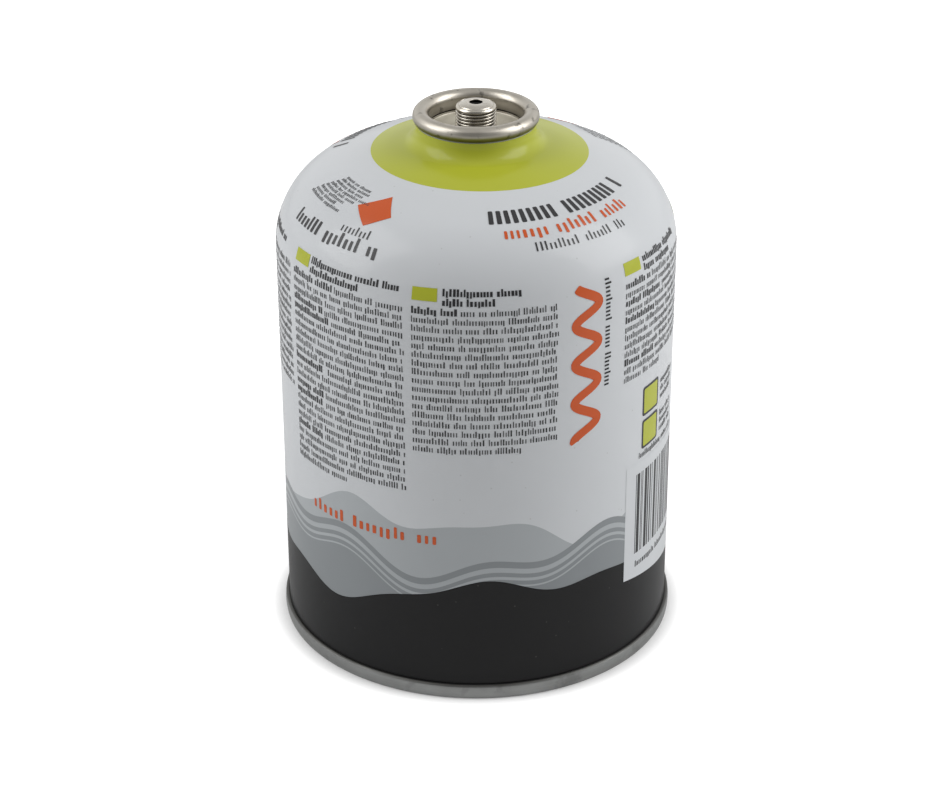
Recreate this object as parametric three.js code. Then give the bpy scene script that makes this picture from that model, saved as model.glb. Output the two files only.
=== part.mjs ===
// Fuel canister: a screw-on gas can of the 450 g size, standing on its seamed bottom.
// Millimetres, +Z up. The origin is on the can's axis, in the plane that the seam stands on.
import * as THREE from 'three';

// Every piece that seats on another stands off it by this much.
const CLEARANCE = 0.3;

// Can: one drawn steel shell, a straight wall with a dished shoulder and a short neck. The
// bead round its mouth joins the neck over an angle on each side of straight down.
const CAN_RADIUS = 55.0;
const CAN_WALL_TOP = 114.9;
const SHOULDER_KNUCKLE = 23.0;
const SHOULDER_CROWN = 103.4;
const NECK_STEP = 1.16;
const NECK_FILLET = 4.5;
const NECK_LIP = 0.8;
const SKIRT_THICKNESS = 0.5;
const BEAD_GAP_DEG = 35;

// Bottom end: a concave steel dish, folded round the can's skirt in a double seam.
const END_SHEET = 0.4;
const END_WALL_TOP = 2.0;
const END_KNUCKLE = 5.0;
const END_CROWN = 200.0;
const SEAM_OVERHANG = 1.25;
const SEAM_HEIGHT = 4.25;
const SEAM_FOLD = 0.9;
const SEAM_EDGE_ROUND = 0.6;
const FOOT_CHAMFER = 0.5;

// Valve cup: a ring rolled over the can's mouth and tucked under at its outer edge, a clinch
// that bulges under the bead, a dished floor and the threaded boss.
const CUP_SHEET = 0.35;
const RING_RADIUS = 15.04;
const RING_TUBE = 2.13;
const RING_TUCK_DEG = -60;
const CUP_DEPTH = 3.8;
const CLINCH_BULGE = 0.65;
const CLINCH_HEIGHT = 1.3;
const BOSS_RADIUS = 5.5;
const BOSS_WALL = 0.9;
const BOSS_HEIGHT = 7.54;
const BOSS_TOP_SHEET = 0.5;
const BOSS_TOP_ROUND = 1.9;
const BOSS_FOOT_ROUND = 0.6;
const BOSS_HOLE_RADIUS = 1.78;

// Seals: one under the rolled ring, one under the boss's top.
const CUP_GASKET_THICKNESS = 0.35;
const CUP_GASKET_SPAN_DEG = [25, 155];
const STEM_GASKET_THICKNESS = 1.3;
const STEM_GASKET_HOLE = 1.3;

// Valve: a stem that a stove's pin presses down against its spring, in a housing.
const STEM_NOSE_GAP = 0.45;
const STEM_NOSE_LENGTH = 1.3;
const STEM_FLANGE_GAP = 0.9;
const STEM_FLANGE_THICKNESS = 1.2;
const STEM_GUIDE_RADIUS = 1.15;
const STEM_GUIDE_LENGTH = 2.3;
const STEM_CHAMFER = 0.2;
const HOUSING_WALL = 0.8;
const HOUSING_DEPTH = 8.2;
const HOUSING_FLOOR = 0.8;
const HOUSING_INLET_RADIUS = 0.6;
const SPRING_WIRE = 0.45;
const SPRING_TURNS = 5;

// Sides of each turned piece, and how far a facet may lie inside a round outline.
const CAN_SIDES = 48;
const CUP_SIDES = 32;
const VALVE_SIDES = 20;
const SPRING_STEPS_PER_TURN = 12;
const SPRING_WIRE_SIDES = 6;
const ARC_SAG = 0.05;

const CAN_PAINT = new THREE.MeshStandardMaterial({ color: 0xd3d6d8, roughness: 0.35, metalness: 0.1 });
const BARE_STEEL = new THREE.MeshStandardMaterial({ color: 0x8a8883, roughness: 0.4, metalness: 0.9 });
const TINNED_STEEL = new THREE.MeshStandardMaterial({ color: 0xb6b3ab, roughness: 0.3, metalness: 0.95 });
const BLACK_RUBBER = new THREE.MeshStandardMaterial({ color: 0x1c1c1d, roughness: 0.8, metalness: 0 });
const STEM_PLASTIC = new THREE.MeshStandardMaterial({ color: 0x2a2a2c, roughness: 0.5, metalness: 0 });
const SPRING_STEEL = new THREE.MeshStandardMaterial({ color: 0x9fa1a3, roughness: 0.3, metalness: 1 });
const VALVE_PLASTIC = new THREE.MeshStandardMaterial({ color: 0xe6e3da, roughness: 0.5, metalness: 0 });

// Points of an arc in the (radius, height) plane, from one angle to another, in degrees.
function arc(centre, radius, fromDeg, toDeg) {
  const from = THREE.MathUtils.degToRad(fromDeg);
  const sweep = THREE.MathUtils.degToRad(toDeg) - from;
  const facet = 2 * Math.acos(1 - ARC_SAG / radius);
  const steps = Math.ceil(Math.abs(sweep) / facet);
  const points = [];
  for (let i = 0; i <= steps; i += 1) {
    const angle = from + (sweep * i) / steps;
    points.push([centre[0] + radius * Math.cos(angle), centre[1] + radius * Math.sin(angle)]);
  }
  return points;
}

// Solid of revolution about Z. The outline runs anticlockwise, with the axis on its left.
function turned(outline, sides) {
  const points = outline.map(([radius, height]) => new THREE.Vector2(Math.max(radius, 0), height));
  return new THREE.LatheGeometry(points, sides).rotateX(Math.PI / 2);
}

function closed(outline) {
  return [...outline, outline[0]];
}

// A dish that meets a vertical wall: the knuckle is tangent to the wall and to the crown.
function dish(wallRadius, wallTop, knuckle, crown) {
  const knuckleCentre = [wallRadius - knuckle, wallTop];
  const drop = Math.sqrt((crown - knuckle) ** 2 - knuckleCentre[0] ** 2);
  const crownCentre = [0, wallTop - drop];
  const tangentDeg = THREE.MathUtils.radToDeg(Math.atan2(drop, knuckleCentre[0]));
  return { knuckle, crown, knuckleCentre, crownCentre, tangentDeg };
}

// The dish's outline from its wall to the angle at which its crown ends, 90 being the axis.
function dishOutline(shape, crownEndDeg) {
  const knuckle = arc(shape.knuckleCentre, shape.knuckle, 0, shape.tangentDeg);
  const crown = arc(shape.crownCentre, shape.crown, shape.tangentDeg, crownEndDeg);
  return [...knuckle, ...crown.slice(1)];
}

const shoulder = dish(CAN_RADIUS, CAN_WALL_TOP, SHOULDER_KNUCKLE, SHOULDER_CROWN);

// The neck's fillet is tangent to the shoulder's crown and to the neck's upright wall.
const filletReach = shoulder.crown + NECK_FILLET;
const neckRadius = RING_RADIUS + NECK_STEP;
const filletRadius = neckRadius + NECK_FILLET;
const filletRise = Math.sqrt(filletReach ** 2 - filletRadius ** 2);
const filletCentre = [filletRadius, shoulder.crownCentre[1] + filletRise];
const filletDeg = THREE.MathUtils.radToDeg(Math.atan2(filletRise, filletRadius));
const neckTop = filletCentre[1] + NECK_LIP;

// Heights of the valve, from the can's neck up.
const ringHeight = neckTop + CLEARANCE + RING_TUBE;
const cupFloor = ringHeight - CUP_DEPTH;

// Radii that one piece takes from another.
const cupWallRadius = RING_RADIUS - RING_TUBE;
const clinchOuterRadius = cupWallRadius + CLINCH_BULGE + CUP_SHEET;
const gasketOuter = RING_TUBE - CUP_SHEET - CLEARANCE;
const gasketInner = gasketOuter - CUP_GASKET_THICKNESS;
const beadRadius = gasketInner - CLEARANCE;
const bossBore = BOSS_RADIUS - BOSS_WALL;
const housingRadius = bossBore - CLEARANCE;
const housingBore = housingRadius - HOUSING_WALL;
const flangeRadius = housingBore - STEM_FLANGE_GAP;
const noseRadius = STEM_GASKET_HOLE - STEM_NOSE_GAP;
const skirtInner = CAN_RADIUS - SKIRT_THICKNESS;
const chuckOuter = skirtInner - CLEARANCE;
const chuckInner = chuckOuter - END_SHEET;

// Heights of the valve's pieces above the cup's floor, from the boss's top down.
const stemGasketTop = BOSS_HEIGHT - BOSS_TOP_SHEET - CLEARANCE;
const stemGasketBottom = stemGasketTop - STEM_GASKET_THICKNESS;
const flangeTop = stemGasketBottom - CLEARANCE;
const flangeBottom = flangeTop - STEM_FLANGE_THICKNESS;
const housingTop = stemGasketBottom - CLEARANCE;
const housingBottom = housingTop - HOUSING_DEPTH;
const springTop = flangeBottom - CLEARANCE;
const springBottom = housingBottom + HOUSING_FLOOR + CLEARANCE;

function canBody() {
  const inside = dish(
    skirtInner, END_WALL_TOP,
    END_KNUCKLE + END_SHEET + CLEARANCE, END_CROWN + END_SHEET + CLEARANCE,
  );
  const underside = dishOutline(inside, 90).reverse();
  const skirtBottom = SEAM_FOLD + CLEARANCE;
  const beadCentre = [RING_RADIUS, ringHeight];
  const bead = arc(beadCentre, beadRadius, BEAD_GAP_DEG - 90, 270 - BEAD_GAP_DEG);
  const pocketRadius = clinchOuterRadius + CLEARANCE;
  const pocketFloor = cupFloor - CUP_SHEET - CLEARANCE;
  const boreRadius = housingRadius + CLEARANCE;
  const boreFloor = cupFloor + housingBottom - CLEARANCE;
  return turned([
    ...underside,
    [skirtInner, skirtBottom],
    [CAN_RADIUS, skirtBottom],
    ...dishOutline(shoulder, filletDeg),
    ...arc(filletCentre, NECK_FILLET, filletDeg - 180, -180).slice(1),
    [neckRadius, neckTop],
    [bead[0][0], neckTop],
    ...bead,
    [bead.at(-1)[0], neckTop],
    [pocketRadius, neckTop],
    [pocketRadius, pocketFloor],
    [boreRadius, pocketFloor],
    [boreRadius, boreFloor],
    [0, boreFloor],
  ], CAN_SIDES);
}

function bottomEnd() {
  const under = dish(chuckInner, END_WALL_TOP, END_KNUCKLE, END_CROWN);
  const over = dish(chuckOuter, END_WALL_TOP, END_KNUCKLE + END_SHEET, END_CROWN + END_SHEET);
  const seamRadius = CAN_RADIUS + SEAM_OVERHANG;
  const slotRadius = CAN_RADIUS + CLEARANCE;
  const footEdge = [seamRadius - SEAM_EDGE_ROUND, SEAM_EDGE_ROUND];
  const topEdge = [seamRadius - SEAM_EDGE_ROUND, SEAM_HEIGHT - SEAM_EDGE_ROUND];
  return turned([
    ...dishOutline(under, 90).reverse(),
    [chuckInner, FOOT_CHAMFER],
    [chuckInner + FOOT_CHAMFER, 0],
    ...arc(footEdge, SEAM_EDGE_ROUND, -90, 0),
    ...arc(topEdge, SEAM_EDGE_ROUND, 0, 90),
    [slotRadius, SEAM_HEIGHT],
    [slotRadius, SEAM_FOLD],
    [chuckOuter, SEAM_FOLD],
    ...dishOutline(over, 90),
  ], CAN_SIDES);
}

// The face of the cup's sheet at a depth below its upper face, from the ring to the boss.
function cupFace(depth) {
  const wall = cupWallRadius + depth;
  const bulge = wall + CLINCH_BULGE;
  const floor = -depth;
  return [
    ...arc([RING_RADIUS, CUP_DEPTH], RING_TUBE - depth, RING_TUCK_DEG, 180),
    [wall, 2 * CLINCH_HEIGHT - CLINCH_BULGE],
    [bulge, CLINCH_HEIGHT],
    [bulge, CLINCH_BULGE],
    [wall, floor],
  ];
}

function valveCup() {
  const footCentre = [BOSS_RADIUS + BOSS_FOOT_ROUND, BOSS_FOOT_ROUND];
  const topCentre = [BOSS_RADIUS - BOSS_TOP_ROUND, BOSS_HEIGHT - BOSS_TOP_ROUND];
  const upper = [
    ...cupFace(0),
    ...arc(footCentre, BOSS_FOOT_ROUND, -90, -180),
    ...arc(topCentre, BOSS_TOP_ROUND, 0, 90),
    [BOSS_HOLE_RADIUS, BOSS_HEIGHT],
  ];
  const lower = [
    ...cupFace(CUP_SHEET),
    [bossBore, -CUP_SHEET],
    [bossBore, BOSS_HEIGHT - BOSS_TOP_SHEET],
    [BOSS_HOLE_RADIUS, BOSS_HEIGHT - BOSS_TOP_SHEET],
  ];
  return turned(closed([...upper, ...lower.reverse()]), CUP_SIDES);
}

function cupGasket() {
  const [from, to] = CUP_GASKET_SPAN_DEG;
  const centre = [RING_RADIUS, CUP_DEPTH];
  const outer = arc(centre, gasketOuter, from, to);
  const inner = arc(centre, gasketInner, to, from);
  return turned(closed([...outer, ...inner]), CUP_SIDES);
}

function stemGasket() {
  return turned(closed([
    [STEM_GASKET_HOLE, stemGasketBottom],
    [housingRadius, stemGasketBottom],
    [housingRadius, stemGasketTop],
    [STEM_GASKET_HOLE, stemGasketTop],
  ]), VALVE_SIDES);
}

function valveStem() {
  const guideBottom = flangeBottom - STEM_GUIDE_LENGTH;
  const noseTop = flangeTop + STEM_NOSE_LENGTH;
  return turned([
    [0, guideBottom],
    [STEM_GUIDE_RADIUS - STEM_CHAMFER, guideBottom],
    [STEM_GUIDE_RADIUS, guideBottom + STEM_CHAMFER],
    [STEM_GUIDE_RADIUS, flangeBottom],
    [flangeRadius, flangeBottom],
    [flangeRadius, flangeTop],
    [noseRadius, flangeTop],
    [noseRadius, noseTop - STEM_CHAMFER],
    [noseRadius - STEM_CHAMFER, noseTop],
    [0, noseTop],
  ], VALVE_SIDES);
}

function valveHousing() {
  const floorTop = housingBottom + HOUSING_FLOOR;
  return turned(closed([
    [HOUSING_INLET_RADIUS, housingBottom],
    [housingBore, housingBottom],
    [housingRadius, housingBottom + HOUSING_WALL],
    [housingRadius, housingTop],
    [housingBore, housingTop],
    [housingBore, floorTop],
    [HOUSING_INLET_RADIUS, floorTop],
  ]), VALVE_SIDES);
}

// The spring's centre line: it stands on the housing's floor and runs round the stem's guide.
class SpringCurve extends THREE.Curve {
  getPoint(t, target = new THREE.Vector3()) {
    const radius = STEM_GUIDE_RADIUS + CLEARANCE + SPRING_WIRE / 2;
    const low = springBottom + SPRING_WIRE / 2;
    const high = springTop - SPRING_WIRE / 2;
    const angle = 2 * Math.PI * SPRING_TURNS * t;
    return target.set(radius * Math.cos(angle), radius * Math.sin(angle), low + (high - low) * t);
  }
}

function valveSpring() {
  const section = new THREE.Shape().absarc(0, 0, SPRING_WIRE / 2, 0, 2 * Math.PI, false);
  return new THREE.ExtrudeGeometry(section, {
    extrudePath: new SpringCurve(),
    steps: SPRING_TURNS * SPRING_STEPS_PER_TURN,
    curveSegments: SPRING_WIRE_SIDES,
    bevelEnabled: false,
  });
}

function piece(name, geometry, material) {
  const mesh = new THREE.Mesh(geometry, material);
  mesh.name = name;
  return mesh;
}

const valve = new THREE.Group();
valve.position.z = cupFloor;
valve.add(
  piece('valve_cup', valveCup(), TINNED_STEEL),
  piece('cup_gasket', cupGasket(), BLACK_RUBBER),
  piece('stem_gasket', stemGasket(), BLACK_RUBBER),
  piece('valve_stem', valveStem(), STEM_PLASTIC),
  piece('valve_spring', valveSpring(), SPRING_STEEL),
  piece('valve_housing', valveHousing(), VALVE_PLASTIC),
);

const canister = new THREE.Group();
canister.add(
  piece('can_body', canBody(), CAN_PAINT),
  piece('bottom_end', bottomEnd(), BARE_STEEL),
  valve,
);

export default canister;
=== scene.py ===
"""Looks of a screw-on gas fuel canister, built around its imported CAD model.

All sizes in this file are in millimetres and become metres in the meshes. The can stands on
its bottom seam, +Z is up its axis, and the printed front faces -Y with +X at its right.

Places on the printed steel are given as two lengths in millimetres: "around", measured round
the straight wall from the middle of the front, to the right, and "up", measured along the
steel from the level that the seam stands on.
"""

import logging
import math
import random
from collections.abc import Callable, Iterable
from dataclasses import dataclass, field, replace
from enum import Enum
from functools import partial
from typing import Any, NamedTuple

import bmesh
import bpy
from bmesh.types import BMesh, BMVert
from mathutils import Matrix, Vector


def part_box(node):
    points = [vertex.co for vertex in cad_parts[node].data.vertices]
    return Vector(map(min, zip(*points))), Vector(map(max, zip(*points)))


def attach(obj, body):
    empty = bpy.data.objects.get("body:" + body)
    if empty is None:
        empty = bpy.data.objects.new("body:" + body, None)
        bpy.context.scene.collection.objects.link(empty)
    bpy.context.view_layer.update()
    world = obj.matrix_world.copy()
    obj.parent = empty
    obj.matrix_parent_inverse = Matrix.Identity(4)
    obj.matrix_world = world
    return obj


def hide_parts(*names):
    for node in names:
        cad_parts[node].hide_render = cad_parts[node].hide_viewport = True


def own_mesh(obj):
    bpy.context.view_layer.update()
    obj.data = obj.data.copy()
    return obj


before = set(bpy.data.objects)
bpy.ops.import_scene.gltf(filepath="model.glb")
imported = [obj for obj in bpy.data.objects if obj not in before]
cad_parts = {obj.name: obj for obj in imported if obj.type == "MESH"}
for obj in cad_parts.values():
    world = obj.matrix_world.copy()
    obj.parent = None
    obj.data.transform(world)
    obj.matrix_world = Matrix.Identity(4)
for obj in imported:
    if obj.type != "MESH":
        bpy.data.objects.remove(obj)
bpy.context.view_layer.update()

MM = 0.001
FULL_TURN = 2 * math.pi
WALL_RADIUS = 55.0
# Length of half the way round the straight wall.
HALF_WAY = math.pi * WALL_RADIUS
# Middle of the tube of the valve's ring, which the can's mouth is curled into.
RING_CENTRE = (15.04, 150.268)
# Points closer than this are one point.
WELD = 1e-4
UP_AXIS = (0.0, 0.0, 1.0)
ORIGIN = (0.0, 0.0, 0.0)
WHITE = (1.0, 1.0, 1.0, 1.0)
CAN = "can"
LOG = logging.getLogger("fuel_canister")

Adder = Callable[..., Any]
Pair = tuple[float, float]
Profile = list[Pair]


def linear(hex_colour: str) -> tuple[float, float, float, float]:
    """Turns an sRGB hex colour to the linear colour that Blender's sockets take.

    Args:
        hex_colour: six hex digits after a hash sign.

    Returns:
        Linear red, green and blue, and an alpha of one.
    """
    digits = hex_colour.lstrip("#")
    channels = [int(digits[i : i + 2], 16) / 255 for i in (0, 2, 4)]
    red, green, blue = (
        c / 12.92 if c <= 0.04045 else ((c + 0.055) / 1.055) ** 2.4 for c in channels
    )
    return red, green, blue, 1.0


def per_size(size: float) -> float:
    """The scale of a texture node whose features are this many millimetres across."""
    return 1.0 / (size * MM)


def add_node(tree: Any, kind: str, inputs: dict | tuple = (), **settings: Any) -> Any:
    """Adds a node to a tree.

    Args:
        tree: the node tree.
        kind: the node's type name, without the ShaderNode that each begins with.
        inputs: values by input name or number, or those of the first inputs in order. An
            output socket is linked, and of a node its first output that is in use.
        **settings: attributes of the node itself.

    Returns:
        The new node.
    """
    node = tree.nodes.new("ShaderNode" + kind)
    for name, value in settings.items():
        setattr(node, name, value)
    values = inputs if isinstance(inputs, dict) else dict(enumerate(inputs))
    for key, value in values.items():
        if isinstance(value, bpy.types.Node):
            value = next(output for output in value.outputs if output.enabled)
        if isinstance(value, bpy.types.NodeSocket):
            tree.links.new(value, node.inputs[key])
        else:
            node.inputs[key].default_value = value
    return node


def start_tree(owner: Any) -> Adder:
    """Empties a material's or world's node tree, and returns what adds a node to it."""
    owner.use_nodes = True
    owner.node_tree.nodes.clear()
    return partial(add_node, owner.node_tree)


def mottle(add: Adder, place: Any, size: float, detail: float, *colours: str) -> tuple[Any, Any]:
    """Adds clouds of two colours to a material.

    Args:
        add: what adds a node to its tree.
        place: the socket with the place on the object.
        size: how far across the clouds are.
        detail: how many times finer clouds lie on them.
        *colours: the two colours in hex.

    Returns:
        The noise, and the node that mixes the colours by it.
    """
    noise = add("TexNoise", {"Vector": place, "Scale": per_size(size), "Detail": detail})
    first, second = (linear(colour) for colour in colours)
    return noise, add("Mix", {"Factor": noise, 6: first, 7: second}, data_type="RGBA")


def add_object(name: str, data: Any) -> Any:
    """Puts a new object with this data in the scene, and returns it."""
    made = bpy.data.objects.new(name, data)
    bpy.context.scene.collection.objects.link(made)
    return made


def to_mesh(bm: BMesh, name: str) -> bpy.types.Mesh:
    """Turns a bmesh into a mesh of this name, and frees it."""
    mesh = bpy.data.meshes.new(name)
    bm.to_mesh(mesh)
    bm.free()
    return mesh


# --------------------------------------------------------------------------- finishes


@dataclass(frozen=True)
class Finish:
    """A finish of this name. Each kind says what its Principled shader's inputs are."""

    name: str

    def inputs(self, add: Adder, place: Any) -> dict[str, Any]:
        """The Principled shader's inputs.

        Args:
            add: what adds a node to the material's tree.
            place: the socket with the place on the object.

        Returns:
            Input names to values, sockets or nodes.
        """
        raise NotImplementedError

    def material(self) -> bpy.types.Material:
        """Builds the node material."""
        material = bpy.data.materials.new(self.name)
        add = start_tree(material)
        inputs = self.inputs(add, add("TexCoord").outputs["Object"])
        add("OutputMaterial", {"Surface": add("BsdfPrincipled", inputs)})
        return material


@dataclass(frozen=True)
class Lacquer(Finish):
    """Printing ink or white base coat on tin plate, under a clear gloss varnish.

    The varnish flows out with a faint orange peel and gives broad soft reflections that get
    stronger towards the sides. A few dust grains lie on it.
    """

    colour: str
    shade: str
    roughness: float = 0.45
    specular: float = 0.25
    varnish: float = 0.4
    varnish_roughness: float = 0.16
    varnish_ior: float = 1.5
    cloud_size: float = 26.0
    peel_size: float = 1.6
    peel_height: float = 0.0016
    dust_spacing: float = 5.0
    dust_edge: Pair = (0.035, 0.06)
    dust_colour: str = "#8F8D86"
    dust_amount: float = 0.25

    def inputs(self, add: Adder, place: Any) -> dict[str, Any]:
        """The shader's inputs: clouded ink, dust grains, and varnish with orange peel."""
        _, ink = mottle(add, place, self.cloud_size, 3.0, self.colour, self.shade)
        grains = add("TexVoronoi", {"Vector": place, "Scale": per_size(self.dust_spacing)})
        dusty = add("MapRange", (grains, *self.dust_edge, self.dust_amount, 0.0))
        dust = linear(self.dust_colour)
        colour = add("Mix", {"Factor": dusty, 6: ink, 7: dust}, data_type="RGBA")
        peel = add("TexNoise", {"Vector": place, "Scale": per_size(self.peel_size), "Detail": 1.0})
        bump = add("Bump", {"Height": peel, "Distance": self.peel_height * MM})
        return {
            "Base Color": colour,
            "Roughness": self.roughness,
            "IOR": self.varnish_ior,
            "Specular IOR Level": self.specular,
            "Normal": bump,
            "Coat Weight": self.varnish,
            "Coat Roughness": self.varnish_roughness,
            "Coat IOR": self.varnish_ior,
            "Coat Normal": bump,
        }


@dataclass(frozen=True)
class RolledSteel(Finish):
    """Bare or tinned sheet steel whose tool marks run round the can's axis.

    Rollers leave fine rings of brighter and duller metal. Handling leaves dark scuffs where
    the metal is proud, and the tin or oxide film is cloudy. Faces that look down or up can be
    darkened towards the dark colour by their normal: painted shade, which also dims their
    reflections. The edges are pairs of values between which an effect sets in: of the noise, or
    of the upward part of the normal.
    """

    colour: str
    film: str
    scuff: str
    roughness: float
    roughness_spread: float
    mark_width: float
    mark_length: float
    mark_height: float
    cloud_size: float
    scuff_size: float
    scuff_amount: float
    path_radius: float
    # Painted shade: how far faces that look down, or up, are darkened towards the dark colour.
    underside_dulling: float = 0.0
    topside_dulling: float = 0.0
    rise_share: float = 1.3
    mark_edge: Pair = (0.3, 0.7)
    scuff_edge: Pair = (0.6, 0.7)
    underside_edge: Pair = (-0.45, 0.2)
    topside_edge: Pair = (0.15, 0.7)

    def marks(self, add: Adder, place: Any) -> Any:
        """Adds noise that is drawn out along rings round the axis.

        Args:
            add: what adds a node to the tree.
            place: the socket with the place on the object.

        Returns:
            The noise node.
        """
        parts = add("SeparateXYZ", (place,)).outputs
        flat = add("CombineXYZ", (parts["X"], parts["Y"]))
        reach = add("VectorMath", (flat,), operation="LENGTH")
        heading = add("VectorMath", (flat,), operation="NORMALIZE")
        stretch = {0: heading, "Scale": self.path_radius / self.mark_length}
        along = add("VectorMath", stretch, operation="SCALE")
        across = add("Math", (parts["Z"], self.rise_share, reach), operation="MULTIPLY_ADD")
        lines = add("Math", (across, per_size(self.mark_width)), operation="MULTIPLY")
        path = add("VectorMath", (along, add("CombineXYZ", {"Z": lines})))
        return add("TexNoise", {"Vector": path, "Scale": 1.0, "Detail": 2.0})

    def inputs(self, add: Adder, place: Any) -> dict[str, Any]:
        """The shader's inputs: clouded metal with scuffs, painted shade by facing, and ring marks.
        """
        marks = self.marks(add, place)
        _, metal = mottle(add, place, self.cloud_size, 4.0, self.colour, self.film)
        worn_size = per_size(self.scuff_size)
        wear = add("TexNoise", {"Vector": place, "Scale": worn_size, "Detail": 5.0})
        scuffed = add("MapRange", (wear, *self.scuff_edge, 0.0, self.scuff_amount))
        dark = linear(self.scuff)
        colour = add("Mix", {"Factor": scuffed, 6: metal, 7: dark}, data_type="RGBA")
        # Painted shade: faces that look down or up are darkened towards the dark colour by their
        # normal.
        facing = add("SeparateXYZ", (add("NewGeometry").outputs["Normal"],)).outputs["Z"]
        below = add("MapRange", (facing, *self.underside_edge, self.underside_dulling, 0.0))
        above = add("MapRange", (facing, *self.topside_edge, 0.0, self.topside_dulling))
        tarnish = add("Math", (below, above))
        worn = add("Mix", {"Factor": tarnish, 6: colour, 7: dark}, data_type="RGBA")
        low, high = (self.roughness + side * self.roughness_spread for side in (-1, 1))
        return {
            "Base Color": worn,
            "Metallic": 1.0,
            "Roughness": add("MapRange", (marks, *self.mark_edge, low, high)),
            "Normal": add("Bump", {"Height": marks, "Distance": self.mark_height * MM}),
        }


@dataclass(frozen=True)
class Moulded(Finish):
    """Moulded plastic or rubber: one body colour, a fine mould grain and a soft sheen."""

    colour: str
    shade: str
    roughness: float
    grain_size: float
    grain_height: float
    ior: float

    def inputs(self, add: Adder, place: Any) -> dict[str, Any]:
        """The shader's inputs: clouded colour and mould grain."""
        grain, colour = mottle(add, place, self.grain_size, 3.0, self.colour, self.shade)
        return {
            "Base Color": colour,
            "Roughness": self.roughness,
            "IOR": self.ior,
            "Normal": add("Bump", {"Height": grain, "Distance": self.grain_height * MM}),
        }


# White base coat: a cool off-white that the varnish turns glossy.
WHITE_COAT = Lacquer("white_base_coat", "#DBDEE1", "#D6D9DC")
# The same white laid again as a field over the darker inks at the base.
WHITE_FIELD = replace(WHITE_COAT, name="white_label_ink")
# Process black over the white coat, thinner in places so that it isn't quite even.
BLACK_INK = Lacquer(
    "charcoal_ink", "#161617", "#1A1A1B", specular=0.15, varnish=0.2, dust_amount=0.1
)
# The same black in strokes so thin that they dry a little greyer.
TEXT_INK = Lacquer("text_ink", "#2C2C2E", "#343436", varnish=0.3, dust_amount=0.0)
# Tints of black, screened on the real can and even to the eye at this distance.
GREY_INK = Lacquer("mid_grey_ink", "#8B9093", "#94999C", dust_amount=0.1)
PALE_GREY_INK = Lacquer("pale_grey_ink", "#B1B6B9", "#B8BDC0", dust_amount=0.1)
# Spot colours: yellow-green, and a red-orange.
LIME_INK = Lacquer("lime_ink", "#BDC337", "#B7BD32", dust_amount=0.12)
ORANGE_INK = Lacquer("orange_ink", "#D65A1E", "#CF561C", dust_amount=0.0)

# Electrolytic tin plate, drawn and rolled over the can's mouth: warm, satin, scuffed. Its
# roller marks are finer than a pixel and are drawn coarser here.
TINPLATE = RolledSteel(
    "drawn_tin_plate",
    colour="#C6C1B7",
    film="#B1ABA0",
    scuff="#57534D",
    roughness=0.37,
    roughness_spread=0.06,
    mark_width=0.35,
    mark_length=7.0,
    mark_height=0.004,
    cloud_size=3.0,
    scuff_size=2.6,
    scuff_amount=0.8,
    path_radius=15.0,
    # Painted shade: faces that look down are darkened, which dims the reflection under the ring.
    underside_dulling=0.85,
)
# The boss is the same sheet, but the thread rolls burnish it, so its reflections are sharper.
BURNISHED_TINPLATE = replace(
    TINPLATE,
    name="burnished_tin_plate",
    colour="#D6D1C7",
    film="#C1BBAF",
    roughness=0.22,
    scuff_amount=0.3,
    path_radius=5.5,
)
# The cup's floor is tin plate as well, but under a clear coat that the die doesn't touch, so
# it scatters more light and looks creamier than the ring.
CUP_FLOOR = Lacquer(
    "coated_tin_plate_floor",
    "#F1EBDA",
    "#E6DFCB",
    roughness=0.35,
    specular=0.4,
    varnish=0.2,
    varnish_roughness=0.3,
    cloud_size=5.0,
    dust_spacing=2.2,
    dust_colour="#8A7A5C",
)
# Seamed steel: the rollers break the coating, so it is greyer and duller, with ring marks, and
# the upper edge, beside the can's wall, is darkened by its upward normal as painted shade.
SEAM_STEEL = RolledSteel(
    "seamed_steel",
    colour="#ABACAB",
    film="#949594",
    scuff="#403F3C",
    roughness=0.48,
    roughness_spread=0.08,
    mark_width=0.5,
    mark_length=12.0,
    mark_height=0.008,
    cloud_size=6.0,
    scuff_size=8.0,
    scuff_amount=0.3,
    path_radius=56.0,
    # Painted shade: the upward-facing upper edge is darkened, which hides its highlight.
    topside_dulling=0.85,
)
# Spring wire: bright drawn stainless, its die lines too fine to see, drawn coarser here.
SPRING_WIRE = RolledSteel(
    "spring_wire",
    colour="#C8C8C6",
    film="#B9B9B7",
    scuff="#77756F",
    roughness=0.25,
    roughness_spread=0.04,
    mark_width=0.12,
    mark_length=2.0,
    mark_height=0.001,
    cloud_size=2.0,
    scuff_size=1.5,
    scuff_amount=0.2,
    path_radius=3.0,
)
# Dark dirt in the slot of the clinch between the cup's wall and floor, dark and dull: partly dirt,
# partly painted shade of the slot.
CLINCH_COMPOUND = Moulded("sealing_compound", "#3B352B", "#2A2620", 0.75, 0.6, 0.02, 1.5)
# Nitrile rubber: dead black, a trace of talc.
SEAL_RUBBER = Moulded("nitrile_rubber", "#141414", "#1C1C1B", 0.7, 0.5, 0.01, 1.52)
# Acetal, black: the stem that a stove's pin presses, waxy and even.
STEM_PLASTIC = Moulded("black_acetal", "#0D0D0E", "#131314", 0.45, 0.4, 0.004, 1.48)
# Acetal, natural: the housing, creamy white and slightly translucent to the eye.
HOUSING_PLASTIC = Moulded("natural_acetal", "#E6E2D6", "#DCD7C9", 0.5, 0.8, 0.006, 1.48)


# --------------------------------------------------------------------------- shapes


def arc(centre: Pair, radius: float, start: float, end: float, steps: int) -> Profile:
    """Points of an arc in a profile of (radius, height) pairs.

    Args:
        centre: the arc's centre.
        radius: the arc's radius.
        start: first angle in degrees, from straight outwards, anticlockwise.
        end: last angle in degrees.
        steps: number of chords.

    Returns:
        steps + 1 points, both ends included.
    """
    turns = [math.radians(start + (end - start) * i / steps) for i in range(steps + 1)]
    return [(centre[0] + radius * math.cos(t), centre[1] + radius * math.sin(t)) for t in turns]


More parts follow.
